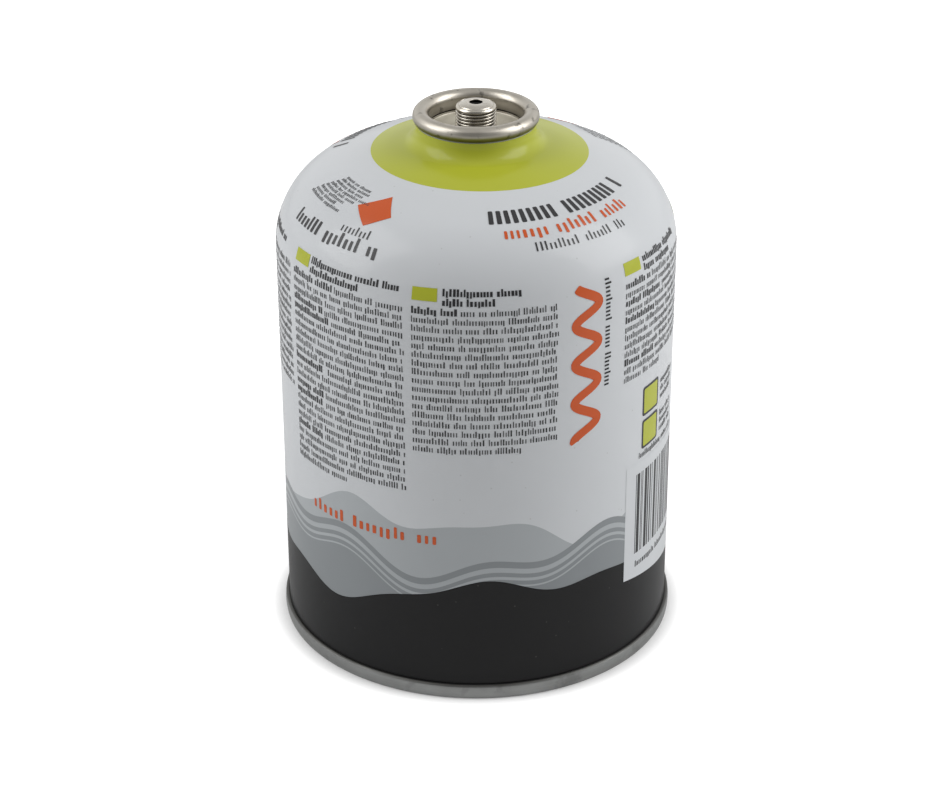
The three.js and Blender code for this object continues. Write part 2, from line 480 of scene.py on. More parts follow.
@dataclass(frozen=True)
class Dish:
    """A straight wall that turns through a tight knuckle into a wide crown."""

    wall_radius: float
    wall_top: float
    knuckle: float
    crown: float

    @property
    def knuckle_centre(self) -> Pair:
        """Centre of the knuckle's arc."""
        return self.wall_radius - self.knuckle, self.wall_top

    @property
    def crown_height(self) -> float:
        """Height of the crown's centre, which lies on the axis."""
        reach = self.crown - self.knuckle
        return self.wall_top - math.sqrt(reach**2 - self.knuckle_centre[0] ** 2)

    @property
    def knuckle_deg(self) -> float:
        """Angle at which the knuckle runs into the crown."""
        return math.degrees(math.acos(self.knuckle_centre[0] / (self.crown - self.knuckle)))

    def profile(self, knuckle_steps: int, crown_steps: int) -> Profile:
        """The line from the wall's top over the knuckle and the crown to the axis."""
        turn = self.knuckle_deg
        line = arc(self.knuckle_centre, self.knuckle, 0.0, turn, knuckle_steps)
        return line + arc((0.0, self.crown_height), self.crown, turn, 90.0, crown_steps)[1:]


def spin_profile(line: Profile, steps: int) -> BMesh:
    """Spins an open profile of (radius, height) pairs round the Z axis.

    Args:
        line: the profile in millimetres.
        steps: number of steps round the axis.

    Returns:
        A bmesh in millimetres, its doubles merged and its faces outwards.
    """
    bm = bmesh.new()
    points = [bm.verts.new((radius, 0.0, height)) for radius, height in line]
    edges = [bm.edges.new(pair) for pair in zip(points, points[1:])]
    bmesh.ops.spin(
        bm,
        geom=points + edges,
        cent=ORIGIN,
        axis=UP_AXIS,
        angle=FULL_TURN,
        steps=steps,
        use_merge=True,
    )
    bmesh.ops.remove_doubles(bm, verts=bm.verts[:], dist=WELD)
    bmesh.ops.dissolve_degenerate(bm, dist=WELD / 10, edges=bm.edges[:])
    bmesh.ops.recalc_face_normals(bm, faces=bm.faces[:])
    return bm


def finish_mesh(bm: BMesh, name: str, *finishes: Finish, sharp_deg: float = 40.0) -> Any:
    """Turns a bmesh in millimetres into a smooth-shaded object in metres.

    Args:
        bm: the bmesh, which is freed.
        name: the object's name.
        *finishes: its finishes, in the order of its faces' material numbers.
        sharp_deg: edges that turn more than this stay sharp.

    Returns:
        The object, at the origin.
    """
    bmesh.ops.scale(bm, vec=(MM, MM, MM), verts=bm.verts[:])
    limit = math.radians(sharp_deg)
    for face in bm.faces:
        face.smooth = True
    for edge in bm.edges:
        edge.smooth = edge.calc_face_angle(0.0) < limit
    mesh = to_mesh(bm, name)
    for finish in finishes:
        mesh.materials.append(finish.material())
    return add_object(name, mesh)


def settle(piece: Any, slot: str, *nodes: str) -> None:
    """Puts a piece on the can's body, hides the CAD nodes that it stands for, and logs its size
    and slot.
    """
    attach(piece, CAN)
    if nodes:
        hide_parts(*nodes)
    triangles = sum(len(face.vertices) - 2 for face in piece.data.polygons)
    LOG.info("%s: %d triangles, slot %s", piece.name, triangles, slot)


@dataclass(frozen=True)
class CanOutline:
    """The can's outer line from the wall to the neck, as the print lies on it."""

    dish: Dish = Dish(WALL_RADIUS, 114.9, 23.0, 103.4)
    fillet: float = 4.5
    neck_radius: float = 16.2
    neck_top: float = 147.838

    @property
    def fillet_centre(self) -> Pair:
        """Centre of the hollow fillet between the crown and the neck."""
        radius = self.neck_radius + self.fillet
        reach = self.dish.crown + self.fillet
        return radius, self.dish.crown_height + math.sqrt(reach**2 - radius**2)

    @property
    def fillet_deg(self) -> float:
        """Angle at which the crown runs into the fillet."""
        radius, height = self.fillet_centre
        return math.degrees(math.atan2(height - self.dish.crown_height, radius))

    @property
    def crown_start(self) -> float:
        """Length along the steel at which the crown starts."""
        return self.dish.wall_top + math.radians(self.dish.knuckle_deg) * self.dish.knuckle

    @property
    def fillet_start(self) -> float:
        """Length along the steel at which the fillet starts."""
        turn = math.radians(self.fillet_deg - self.dish.knuckle_deg)
        return self.crown_start + turn * self.dish.crown

    @property
    def neck_start(self) -> float:
        """Length along the steel at which the neck starts."""
        return self.fillet_start + math.radians(self.fillet_deg) * self.fillet

    def at(self, up: float) -> tuple[float, float, float, float]:
        """Radius and height on the line, and the outward direction there.

        Args:
            up: length along the steel.

        Returns:
            Radius, height, and the radial and upward parts of the outward direction.
        """
        dish = self.dish
        if up <= dish.wall_top:
            return dish.wall_radius, up, 1.0, 0.0
        if up <= self.crown_start:
            turn = (up - dish.wall_top) / dish.knuckle
            centre, size = dish.knuckle_centre, dish.knuckle
        elif up <= self.fillet_start:
            turn = math.radians(dish.knuckle_deg) + (up - self.crown_start) / dish.crown
            centre, size = (0.0, dish.crown_height), dish.crown
        elif up <= self.neck_start:
            turn = math.radians(self.fillet_deg) - (up - self.fillet_start) / self.fillet
            centre, size = self.fillet_centre, -self.fillet
        else:
            return self.neck_radius, self.fillet_centre[1] + up - self.neck_start, 1.0, 0.0
        out, rise = math.cos(turn), math.sin(turn)
        return centre[0] + size * out, centre[1] + size * rise, out, rise

    def place(self, around: float, up: float, lift: float) -> Vector:
        """The point at a place on the print, raised off the steel by lift."""
        radius, height, out, rise = self.at(up)
        turn = around / self.dish.wall_radius
        reach = radius + lift * out
        return Vector((reach * math.sin(turn), -reach * math.cos(turn), height + lift * rise))

    def up_at_radius(self, radius: float) -> float:
        """Length along the steel at which the crown has this radius."""
        turn = math.acos(radius / self.dish.crown)
        return self.crown_start + (turn - math.radians(self.dish.knuckle_deg)) * self.dish.crown


# --------------------------------------------------------------------------- pieces


@dataclass
class CanShell:
    """The drawn steel can: straight wall, domed shoulder, short neck and curled mouth."""

    outline: CanOutline
    steps: int = 256
    foot_height: float = 1.3
    foot_edge: float = 0.15
    foot_levels: tuple[float, ...] = (2.4, 3.6, 4.4, 5.2)
    inner_foot: Dish = Dish(54.4, 2.0, 5.6, 200.6)
    wall_rows: int = 22
    shoulder_rows: tuple[int, int, int] = (26, 18, 14)
    neck_turn: Pair = (15.9, 0.6)
    mouth_radius: float = 14.2
    mouth_top: float = 149.0
    curl_radius: float = 1.42
    under_cup: float = 145.8
    valve_pocket: Pair = (4.7, 143.0)

    def profile(self) -> Profile:
        """The line from the axis at the bottom, round the outside, to the axis at the valve."""
        outline, foot = self.outline, self.foot_height
        wall, first = outline.dish.wall_radius, self.foot_levels[-1]
        span = outline.dish.wall_top - first
        ups = [*self.foot_levels]
        ups += [first + span * i / self.wall_rows for i in range(1, self.wall_rows)]
        starts = [outline.dish.wall_top, outline.crown_start, outline.fillet_start]
        ends = [*starts[1:], outline.neck_start]
        for start, end, count in zip(starts, ends, self.shoulder_rows):
            ups += [start + (end - start) * i / count for i in range(count)]
        ups.append(outline.neck_start)
        line = self.inner_foot.profile(6, 10)[::-1] + [(self.inner_foot.wall_radius, foot)]
        line += [(wall - self.foot_edge, foot), (wall, foot + self.foot_edge)]
        line += [outline.at(up)[:2] for up in ups]
        turn_radius, turn_rise = self.neck_turn
        line += [(outline.neck_radius, outline.neck_top)]
        line += [(turn_radius, outline.neck_top + turn_rise)]
        line += arc(RING_CENTRE, self.curl_radius, -45.0, 180.0, 14)
        line += [(self.mouth_radius, self.mouth_top), (self.mouth_radius, self.under_cup)]
        pocket_radius, pocket_floor = self.valve_pocket
        line += [(pocket_radius, self.under_cup), (pocket_radius, pocket_floor)]
        return line + [(0.0, pocket_floor)]

    def build(self) -> None:
        """Spins the can and puts it in place of its CAD solid."""
        bm = spin_profile(self.profile(), self.steps)
        settle(finish_mesh(bm, "drawn_can", WHITE_COAT), "can_paint", "can_body")


@dataclass
class BottomEnd:
    """The concave bottom and the double seam that holds it on the can."""

    steps: int = 256
    seam_radius: float = 56.25
    seam_height: float = 4.25
    under: Dish = Dish(53.8, 2.0, 5.0, 200.0)
    upper: Dish = Dish(54.2, 2.0, 5.4, 200.4)
    inner_edge: tuple[Pair, Pair] = ((0.0, 0.55), (0.12, 0.22))
    foot_radius: float = 54.3
    foot_round: float = 0.75
    top_round: float = 0.8
    bulge: float = 0.14
    face_shares: tuple[float, ...] = (0.1, 0.3, 0.5, 0.7, 0.9)
    fold_drop: float = 0.5
    fold_floor: float = 0.9
    fold_gap: float = 0.03

    def profile(self) -> Profile:
        """The closed line of the end's section, from the axis round the seam and back."""
        line = self.under.profile(8, 14)[::-1]
        line += [(self.under.wall_radius + out, height) for out, height in self.inner_edge]
        line += [(self.foot_radius, 0.0)]
        edge = self.seam_radius - self.bulge
        line += arc((edge - self.foot_round, self.foot_round), self.foot_round, -90.0, -8.0, 6)
        # The rollers leave the seam's face faintly full between its two rounded edges.
        top = self.seam_height - self.top_round
        for share in self.face_shares:
            height = self.foot_round + (top - self.foot_round) * share
            line.append((edge + self.bulge * math.sin(math.pi * share), height))
        line += arc((edge - self.top_round, top), self.top_round, 8.0, 125.0, 8)
        inner = WALL_RADIUS + self.fold_gap
        line += [(inner, self.seam_height - self.fold_drop), (inner, self.fold_floor)]
        line += [(self.upper.wall_radius, self.fold_floor)]
        return line + self.upper.profile(8, 14)

    def build(self) -> None:
        """Spins the end and its seam and puts them in place of the CAD solid."""
        bm = spin_profile(self.profile(), self.steps)
        settle(finish_mesh(bm, "seamed_bottom_end", SEAM_STEEL), "seam_steel", "bottom_end")


@dataclass
class ValveCup:
    """The valve cup: rolled ring, clinched wall, floor and rolled thread on the boss.

    The crown is the boss's rounded top with its faint groove, as pairs of a radius and the
    drop from the top.
    """

    steps: int = 160
    sheet: float = 0.35
    ring_tube: float = 2.13
    tuck_deg: float = -60.0
    wall_drop: float = 0.6
    clinch_top: float = 147.55
    clinch_slot: float = 0.42
    clinch_depth: float = 0.85
    clinch_lip: Pair = (0.12, 0.15)
    clinch_slope: float = 0.06
    clinch_reach: float = 14.0
    foot_step: float = 0.3
    floor_corner: float = 0.2
    floor: float = 146.468
    floor_rings: Pair = (11.0, 8.5)
    boss_radius: float = 5.5
    boss_top: float = 154.008
    hole_radius: float = 1.8
    hole_round: float = 0.08
    hole_depth: float = 0.5
    crown: tuple[Pair, ...] = (
        (5.5, 1.5),
        (5.47, 1.27),
        (5.37, 1.04),
        (5.2, 0.84),
        (5.02, 0.71),
        (4.88, 0.64),
        (4.82, 0.74),
        (4.7, 0.75),
        (4.62, 0.57),
        (4.4, 0.44),
        (4.0, 0.28),
        (3.5, 0.14),
        (2.9, 0.04),
        (2.4, 0.0),
    )
    foot_round: float = 0.5
    thread_pitch: float = 0.907
    thread_depth: float = 0.5
    thread_shift: float = 0.59
    thread_low: float = 146.98
    thread_high: float = 152.36
    thread_runout: float = 0.22
    crest_sharpness: float = 2.2
    rings_per_pitch: int = 12

    def wall_line(self) -> Profile:
        """The inner wall below the ring, its clinch and the corner of the floor."""
        radius = RING_CENTRE[0] - self.ring_tube
        top, deep = self.clinch_top, radius + self.clinch_depth
        low, foot = top - self.clinch_slot, radius + self.foot_step
        lip_depth, lip_height = self.clinch_lip
        size = self.floor_corner
        line = [(radius, RING_CENTRE[1] - self.wall_drop), (radius, top + lip_height)]
        line += [(radius + lip_depth, top), (deep, top - self.clinch_slope)]
        line += [(deep, low + self.clinch_slope), (foot, low)]
        return line + arc((foot - size, self.floor + size), size, 0.0, -90.0, 4)

    def boss_line(self) -> Profile:
        """The boss from its foot up its wall, over its top and into its hole."""
        low = self.floor + self.foot_round
        line = arc((self.boss_radius + self.foot_round, low), self.foot_round, 270.0, 180.0, 5)
        shoulder = self.boss_top - self.crown[0][1]
        count = round((shoulder - low) / self.thread_pitch * self.rings_per_pitch)
        line += [(self.boss_radius, low + (shoulder - low) * i / count) for i in range(1, count)]
        line += [(radius, self.boss_top - drop) for radius, drop in self.crown]
        size = self.hole_round
        line += arc((self.hole_radius + size, self.boss_top - size), size, 90.0, 180.0, 4)
        return line + [(self.hole_radius, self.boss_top - self.hole_depth)]

    def cut_thread(self, bm: BMesh) -> None:
        """Rolls a right-hand thread into the boss's wall by moving its points inwards."""
        for vert in bm.verts:
            radius = math.hypot(vert.co.x, vert.co.y)
            edge = min(vert.co.z - self.thread_low, self.thread_high - vert.co.z)
            if abs(radius - self.boss_radius) > 0.01 or edge <= 0.0:
                continue
            turn = math.atan2(vert.co.y, vert.co.x) / FULL_TURN
            phase = vert.co.z / self.thread_pitch - turn + self.thread_shift
            groove = (0.5 - 0.5 * math.cos(FULL_TURN * phase)) ** self.crest_sharpness
            depth = self.thread_depth * groove * min(1.0, edge / self.thread_runout)
            vert.co.x *= 1.0 - depth / radius
            vert.co.y *= 1.0 - depth / radius

    def finish_number(self, spot: Vector) -> int:
        """Number of the finish of a face: sheet, coated floor, burnished boss, or the slot's dirt
        and painted shade.
        """
        reach = math.hypot(spot.x, spot.y)
        if reach < self.boss_radius + self.foot_round:
            return 2
        if spot.z < self.floor + 0.05:
            return 1
        # Faces in the clinch's slot get the dark material of dirt and painted shade.
        in_slot = self.clinch_top - self.clinch_slot < spot.z < self.clinch_top
        return 3 if in_slot and reach < self.clinch_reach else 0

    def build(self) -> None:
        """Spins the cup, rolls its thread, and gives it the sheet's thickness."""
        line = arc(RING_CENTRE, self.ring_tube, self.tuck_deg, 180.0, 34) + self.wall_line()
        line += [(radius, self.floor) for radius in self.floor_rings] + self.boss_line()
        bm = spin_profile(line, self.steps)
        self.cut_thread(bm)
        highest = max(bm.faces, key=lambda face: face.calc_center_median().z)
        if highest.normal.z < 0.0:
            bmesh.ops.reverse_faces(bm, faces=bm.faces[:])
        for face in bm.faces:
            face.material_index = self.finish_number(face.calc_center_median())
        finishes = (TINPLATE, CUP_FLOOR, BURNISHED_TINPLATE, CLINCH_COMPOUND)
        piece = finish_mesh(bm, "rolled_valve_cup", *finishes, sharp_deg=50.0)
        wall = piece.modifiers.new("sheet", "SOLIDIFY")
        wall.thickness = self.sheet * MM
        wall.offset = -1.0
        settle(piece, "cup_tinplate", "valve_cup")


@dataclass
class ValveSpring:
    """The valve's coil spring, which closes up as the stem goes down."""

    coil_radius: float = 1.925
    wire: float = 0.45
    turns: int = 5
    steps_per_turn: int = 36
    sides: int = 12
    travel: float = 1.5

    def build(self) -> None:
        """Screws the wire's round section up the axis, between the CAD spring's two ends."""
        ends = [corner[2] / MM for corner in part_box("valve_spring")]
        low, high = ends[0] + self.wire / 2, ends[1] - self.wire / 2
        steps = self.turns * self.steps_per_turn
        upright = Matrix.Rotation(math.radians(90.0), 4, "X")
        bm = bmesh.new()
        bmesh.ops.create_circle(
            bm,
            radius=self.wire / 2,
            segments=self.sides,
            matrix=Matrix.Translation((self.coil_radius, 0.0, low)) @ upright,
        )
        bmesh.ops.spin(
            bm,
            geom=bm.verts[:] + bm.edges[:],
            cent=ORIGIN,
            axis=UP_AXIS,
            dvec=(0.0, 0.0, (high - low) / steps),
            angle=FULL_TURN * self.turns,
            steps=steps,
            use_merge=False,
        )
        bmesh.ops.holes_fill(bm, edges=[edge for edge in bm.edges if edge.is_boundary])
        bmesh.ops.recalc_face_normals(bm, faces=bm.faces[:])
        piece = finish_mesh(bm, "coiled_valve_spring", SPRING_WIRE, sharp_deg=50.0)
        settle(piece, "spring_steel", "valve_spring")
        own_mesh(piece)


@dataclass
class ValveInside:
    """The other pieces inside the valve, which keep their CAD shapes and get finishes."""

    finishes: dict[str, Finish] = field(
        default_factory=lambda: {
            "cup_gasket": SEAL_RUBBER,
            "stem_gasket": SEAL_RUBBER,
            "valve_stem": STEM_PLASTIC,
            "valve_housing": HOUSING_PLASTIC,
        }
    )

    def build(self) -> None:
        """Gives each CAD node its material."""
        made = {finish: finish.material() for finish in dict.fromkeys(self.finishes.values())}
        for node, finish in self.finishes.items():
            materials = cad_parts[node].data.materials
            materials.clear()
            materials.append(made[finish])
            LOG.info("%s: CAD shape, finish %s", node, finish.name)


# --------------------------------------------------------------------------- print


class Layer(Enum):
    """Height of the underside of an ink film above the steel, in millimetres."""

    FIRST = 0.006
    SECOND = 0.018
    THIRD = 0.03
    FOURTH = 0.042
    FIFTH = 0.054
    SIXTH = 0.066
    SEVENTH = 0.078


@dataclass(frozen=True)
class Script:
    """Sizes of one kind of greeked text: rows of plain strokes grouped as words."""

    stroke: float
    gap: float
    low: float
    tall: float
    tall_share: float
    word: tuple[int, int]
    word_gap: float
    spread: float = 0.25
    rows: int = 1
    rounded: float = 0.0


FINE = Script(0.32, 0.42, 1.25, 1.8, 0.28, (3, 20), 0.75)
FINE_BOLD = Script(0.6, 0.32, 1.35, 1.95, 0.35, (6, 20), 0.8)
SMALLEST = Script(0.34, 0.42, 0.75, 1.0, 0.25, (4, 16), 0.8)
THIN_LINE = Script(0.55, 0.95, 1.7, 2.5, 0.3, (7, 10), 2.2, 0.1, 4)
ORANGE_LINE = Script(1.05, 1.15, 2.5, 3.5, 0.35, (6, 9), 2.6, 0.15, 5, 0.3)
BOLD_LINE = Script(1.75, 1.2, 4.8, 4.8, 0.0, (9, 9), 3.6, 0.0, 5, 0.35)
NET_LINE = Script(1.15, 0.95, 2.6, 3.9, 0.45, (6, 8), 2.4, 0.1, 5, 0.25)


class Column(NamedTuple):
    """A column of fine text, with a tag and two short headings over it."""

    start: float
    end: float
    low: float
    first_heading: float
    second_heading: float
    tag_start: float


class InkFilm:
    """All the print of one colour, as thin closed films that lie on the can's surface."""

    thickness = 0.007
    column_step = 1.35
    row_step = 0.7
    ribbon_step = 0.45
    ribbon_round = 0.9

    def __init__(self, name: str, ink: Lacquer, outline: CanOutline, layer: Layer) -> None:
        """Starts an empty film.

        Args:
            name: the piece's name.
            ink: its finish.
            outline: the can's surface.
            layer: its height above the steel.
        """
        self.name = name
        self.ink = ink
        self.outline = outline
        self.layer = layer
        self.bm = bmesh.new()

    def sheet(self, columns: int, rows: int) -> list[BMVert]:
        """Adds a flat grid that spans 0 to 1 both ways, and returns its points."""
        middle = Matrix.Translation((0.5, 0.5, 0.0))
        made = bmesh.ops.create_grid(
            self.bm, x_segments=columns, y_segments=rows, size=0.5, matrix=middle
        )
        return made["verts"]

    def field(
        self,
        low: Callable[[float], float],
        high: Callable[[float], float],
        start: float = -HALF_WAY,
        end: float = HALF_WAY,
        rows: int = 1,
    ) -> None:
        """Adds a field between two lines that run round the can.

        Args:
            low: length up the steel of the lower edge, at a place around.
            high: the same of the upper edge.
            start: first place around.
            end: last place around.
            rows: number of rows of faces.
        """
        columns = max(1, math.ceil((end - start) / self.column_step))
        for vert in self.sheet(columns, rows):
            around = start + (end - start) * vert.co.x
            bottom = low(around)
            vert.co = (around, bottom + (high(around) - bottom) * vert.co.y, 0.0)

    def block(
        self, start: float, end: float, low: float, high: float, rounded: float = 0.0
    ) -> None:
        """Adds an upright rectangle, its corners rounded if asked."""
        on_wall = high <= self.outline.dish.wall_top
        rows = 1 if on_wall else math.ceil((high - low) / self.row_step)
        verts = self.sheet(max(1, math.ceil((end - start) / self.column_step)), rows)
        for vert in verts:
            vert.co = (start + (end - start) * vert.co.x, low + (high - low) * vert.co.y, 0.0)
        self.round_corners(verts, rounded)

    def quad(self, corners: list[Pair], cells: int) -> None:
        """Adds a slanted four-sided patch.

        Args:
            corners: its corners as (around, up), anticlockwise from the lower left.
            cells: number of faces along each side.
        """
        first, second, third, fourth = (Vector(corner) for corner in corners)
        for vert in self.sheet(cells, cells):
            x, y = vert.co.x, vert.co.y
            vert.co = (*first.lerp(second, x).lerp(fourth.lerp(third, x), y), 0.0)

    def ribbon(
        self, path: Callable[[float], float], low: float, high: float, width: float
    ) -> None:
        """Adds a ribbon that climbs the can, of one width across its own line.

        Args:
            path: the place around of its middle, at a length up the steel.
            low: length up the steel of its lower end.
            high: the same of its upper end.
            width: its width.
        """
        verts = self.sheet(4, math.ceil((high - low) / self.ribbon_step))
        for vert in verts:
            up = low + (high - low) * vert.co.y
            slope = (path(up + 0.01) - path(up - 0.01)) / 0.02
            across = Vector((1.0, -slope)).normalized() * width * (vert.co.x - 0.5)
            vert.co = (path(up) + across.x, up + across.y, 0.0)
        self.round_corners(verts, self.ribbon_round)

    def round_corners(self, verts: Iterable[BMVert], size: float) -> None:
        """Rounds the free corners of patches that are flat still, unless the size is none."""
        if size <= 0.0:
            return
        corners = [vert for vert in verts if vert.is_valid and len(vert.link_edges) == 2]
        bmesh.ops.bevel(
            self.bm,
            geom=corners,
            affect="VERTICES",
            offset=size,
            offset_type="OFFSET",
            segments=3,
            profile=0.5,
            material=-1,
        )

    def text(
        self, rng: random.Random, script: Script, start: float, end: float, base: float
    ) -> None:
        """Adds one row of greeked text.

        Args:
            rng: the source of its random draws.
            script: its sizes.
            start: where the row starts, around the can.
            end: where it ends.
            base: the height of its foot.
        """
        marks: list[tuple[float, float, float, float]] = []
        at = start
        while at < end - script.stroke:
            for _ in range(rng.randint(*script.word)):
                width = script.stroke * (1.0 + script.spread * rng.uniform(-1.0, 1.0))
                tall = rng.random() < script.tall_share
                drop = 0.25 * script.low if rng.random() < 0.3 * script.tall_share else 0.0
                if at + width > end:
                    break
                high = script.tall if tall and not drop else script.low
                marks.append((at, at + width, base - drop, base + high))
                at += width + script.gap * (1.0 + script.spread * rng.uniform(-1.0, 1.0))
            at += script.word_gap
        self.strokes(marks, script.rows, script.rounded)

    def strokes(
        self, marks: list[tuple[float, float, float, float]], rows: int, rounded: float
    ) -> None:
        """Adds a row of upright strokes, cut from one strip.

        Args:
            marks: the strokes as (start, end, low, high).
            rows: number of faces in a stroke's height.
            rounded: size of the rounding of their corners.
        """
        if not marks:
            return
        columns = 2 * len(marks) - 1
        verts = self.sheet(columns, rows)
        for vert in verts:
            number = round(vert.co.x * columns)
            low, high = marks[number // 2][2:]
            # The height is a flag: 1 on a stroke's right edge, where the gap after it starts.
            right = number % 2
            vert.co = (marks[number // 2][right], low + (high - low) * vert.co.y, float(right))
        faces = {face for vert in verts for face in vert.link_faces}
        gaps = [face for face in faces if min(face.verts, key=lambda v: v.co.x).co.z > 0.5]
        for vert in verts:
            vert.co.z = 0.0
        bmesh.ops.delete(self.bm, geom=gaps, context="FACES")
        self.round_corners(verts, rounded)

    def build(self) -> None:
        """Lays the film on the can, welds it where it closes and gives it its thickness."""
        bm = self.bm
        spot = bm.verts.layers.float_vector.new("spot")
        low = self.layer.value
        for vert in bm.verts:
            vert[spot] = vert.co
            vert.co = self.outline.place(vert.co.x, vert.co.y, low)
        bmesh.ops.remove_doubles(bm, verts=bm.verts[:], dist=WELD)
        made = bmesh.ops.extrude_face_region(bm, geom=bm.faces[:])
        for item in made["geom"]:
            if isinstance(item, BMVert):
                around, up, _ = item[spot]
                item.co = self.outline.place(around, up, low + self.thickness)
        bmesh.ops.recalc_face_normals(bm, faces=bm.faces[:])
        settle(finish_mesh(bm, self.name, self.ink), "can_paint")


@dataclass(frozen=True)
class Wave:
    """A wavy edge that closes on itself round the can.

    Its parts are sines: height, number of crests round the can, and shift in turns.
    """

    level: float
    parts: tuple[tuple[float, int, float], ...]

    def at(self, around: float) -> float:
        """Length up the steel of the edge at a place around."""
        turn = around / (2 * HALF_WAY)
        return self.level + sum(
            size * math.sin(FULL_TURN * (count * turn + shift))
            for size, count, shift in self.parts
        )


@dataclass
class Print:
    """Everything printed on the can, in generic shapes of the real print's colours.

    The back repeats the front's lines and patch at back_shift round the can. The shoulder's
    lines are kept as script, start, end and foot.
    """

    outline: CanOutline
    seed: int = 7
    collar_radius: float = 29.55
    collar_shift: float = 1.0
    neck_reach: float = 1.2
    dark_edge: Wave = Wave(30.5, ((4.6, 2, 0.12), (2.6, 5, 0.3), (1.1, 11, 0.1)))
    pale_edge: Wave = Wave(51.5, ((4.2, 3, 0.42), (3.4, 7, 0.05), (1.0, 13, 0.6)))
    grey_edge: Wave = Wave(43.0, ((3.8, 4, 0.85), (2.7, 9, 0.2)))
    band_overlap: float = 2.0
    stripes: tuple[Pair, ...] = ((2.0, 1.5), (4.8, 0.9), (7.0, 0.5))
    base_low: float = 3.9
    field_span: Pair = (46.4, 93.0)
    field_corner: Pair = (46.7, 26.0)
    field_slope: float = 0.155
    field_top: float = 61.5
    column_top: float = 117.5
    first_foot: float = 1.4
    line_pitch: float = 2.5
    last_row_share: Pair = (0.4, 0.8)
    bold_chance: float = 0.16
    bold_share: Pair = (0.25, 0.45)
    bold_gap: float = 0.8
    heading_feet: Pair = (121.3, 118.8)
    heading_indent: float = 8.2
    tag: tuple[float, float, float] = (6.8, 119.7, 123.2)
    columns: tuple[Column, ...] = (
        Column(-16.5, 22.5, 74.5, 29.0, 22.0, -16.5),
        Column(-58.8, -18.6, 59.5, 39.5, 27.5, -58.4),
        Column(-100.0, -61.2, 77.0, 33.0, 20.0, -100.0),
        Column(44.3, 85.0, 86.3, 30.0, 24.0, 44.3),
        Column(88.0, 128.0, 70.0, 36.0, 18.0, 88.0),
        Column(131.0, 171.0, 66.0, 28.0, 33.0, 131.0),
        Column(194.0, 243.0, 72.0, 38.0, 21.0, 194.0),
    )
    back_shift: float = HALF_WAY + 3.0
    shoulder_lines: tuple[tuple[Script, float, float, float], ...] = (
        (BOLD_LINE, 4.9, 67.5, 141.2),
        (THIN_LINE, 18.4, 51.5, 132.1),
        (NET_LINE, -66.7, -28.5, 128.4),
        (THIN_LINE, -44.5, -32.5, 132.6),
    )
    note_start: Pair = (-71.5, 136.6)
    note_step: Pair = (0.95, 1.34)
    note_rows: int = 8
    note_lengths: Pair = (14.0, 27.0)
    ladders: Pair = (36.9, 188.9)
    ladder_low: float = 90.5
    ladder_pitch: float = 1.12
    ladder_gaps: tuple[int, int] = (9, 16)
    ladder_rungs: int = 28
    rung_widths: tuple[float, ...] = (1.5, 1.5, 2.1)
    rung_height: float = 0.55
    bar_span: Pair = (51.0, 79.5)
    bar_heights: Pair = (33.0, 58.0)
    bar_widths: tuple[float, ...] = (0.33, 0.33, 0.66, 0.66, 0.99, 1.32)
    bar_gaps: tuple[float, ...] = (0.33, 0.33, 0.66, 0.99)
    bar_lines: tuple[tuple[Script, float, float, float], ...] = (
        (FINE_BOLD, 51.5, 80.0, 28.6),
        (FINE, 52.0, 76.0, 62.6),
    )
    square_lows: Pair = (65.0, 75.0)
    square_span: Pair = (53.2, 62.2)
    square_size: float = 8.8
    square_frame: float = 0.7
    square_rounds: Pair = (0.8, 0.5)
    square_note_span: Pair = (64.0, 75.0)
    square_note_feet: tuple[float, ...] = (1.0, 3.4, 5.8)
    orange_shoulder: tuple[float, float, float] = (9.5, 60.8, 136.3)
    orange_foot: tuple[float, float, float] = (-51.5, -9.0, 48.0)
    patch: tuple[Pair, ...] = ((-37.5, 135.9), (-29.7, 140.5), (-35.5, 147.5), (-45.5, 141.1))
    ribbons: Pair = (31.0, 183.0)
    ribbon_span: Pair = (75.8, 120.6)
    ribbon_swing: float = 3.6
    ribbon_pitch: float = 11.3
    ribbon_width: float = 2.6

    def film(self, name: str, ink: Lacquer, layer: Layer) -> InkFilm:
        """Starts a film of one ink on the can."""
        return InkFilm(name, ink, self.outline, layer)

    def collar_edge(self, around: float) -> float:
        """Length up the steel of the collar's edge, a circle not quite on the axis."""
        turn = around / self.outline.dish.wall_radius
        aside = self.collar_shift * math.sin(turn)
        across = self.collar_shift * math.cos(turn)
        return self.outline.up_at_radius(aside + math.sqrt(self.collar_radius**2 - across**2))

    def collar(self) -> None:
        """The yellow-green circle round the valve."""
        film = self.film("lime_collar_print", LIME_INK, Layer.FIRST)
        start = self.outline.fillet_start
        film.field(self.collar_edge, lambda _: start, rows=10)
        film.field(lambda _: start, lambda _: self.outline.neck_start + self.neck_reach, rows=14)
        bmesh.ops.remove_doubles(film.bm, verts=film.bm.verts[:], dist=WELD)
        film.build()

    def base_bands(self) -> None:
        """The wave bands round the can's foot."""
        for name, ink, layer, edge in (
            ("pale_grey_wave_print", PALE_GREY_INK, Layer.FIRST, self.pale_edge),
            ("mid_grey_wave_print", GREY_INK, Layer.SECOND, self.grey_edge),
        ):
            band = self.film(name, ink, layer)
            band.field(lambda a: self.dark_edge.at(a) - self.band_overlap, edge.at)
            band.build()
        stripes = self.film("pale_stripe_print", PALE_GREY_INK, Layer.THIRD)
        for drop, width in self.stripes:
            stripes.field(
                lambda a, drop=drop + width: self.grey_edge.at(a) - drop,
                lambda a, drop=drop: self.grey_edge.at(a) - drop,
            )
        stripes.build()
        dark = self.film("charcoal_band_print", BLACK_INK, Layer.FOURTH)
        dark.field(lambda _: self.base_low, self.dark_edge.at)
        dark.build()

    def label_field(self) -> None:
        """The white field for the bars, over the dark band at the right."""
        film = self.film("white_field_print", WHITE_FIELD, Layer.FIFTH)
        around, up = self.field_corner
        film.field(
            lambda a: up - (a - around) * self.field_slope,
            lambda _: self.field_top,
            *self.field_span,
        )
        film.build()

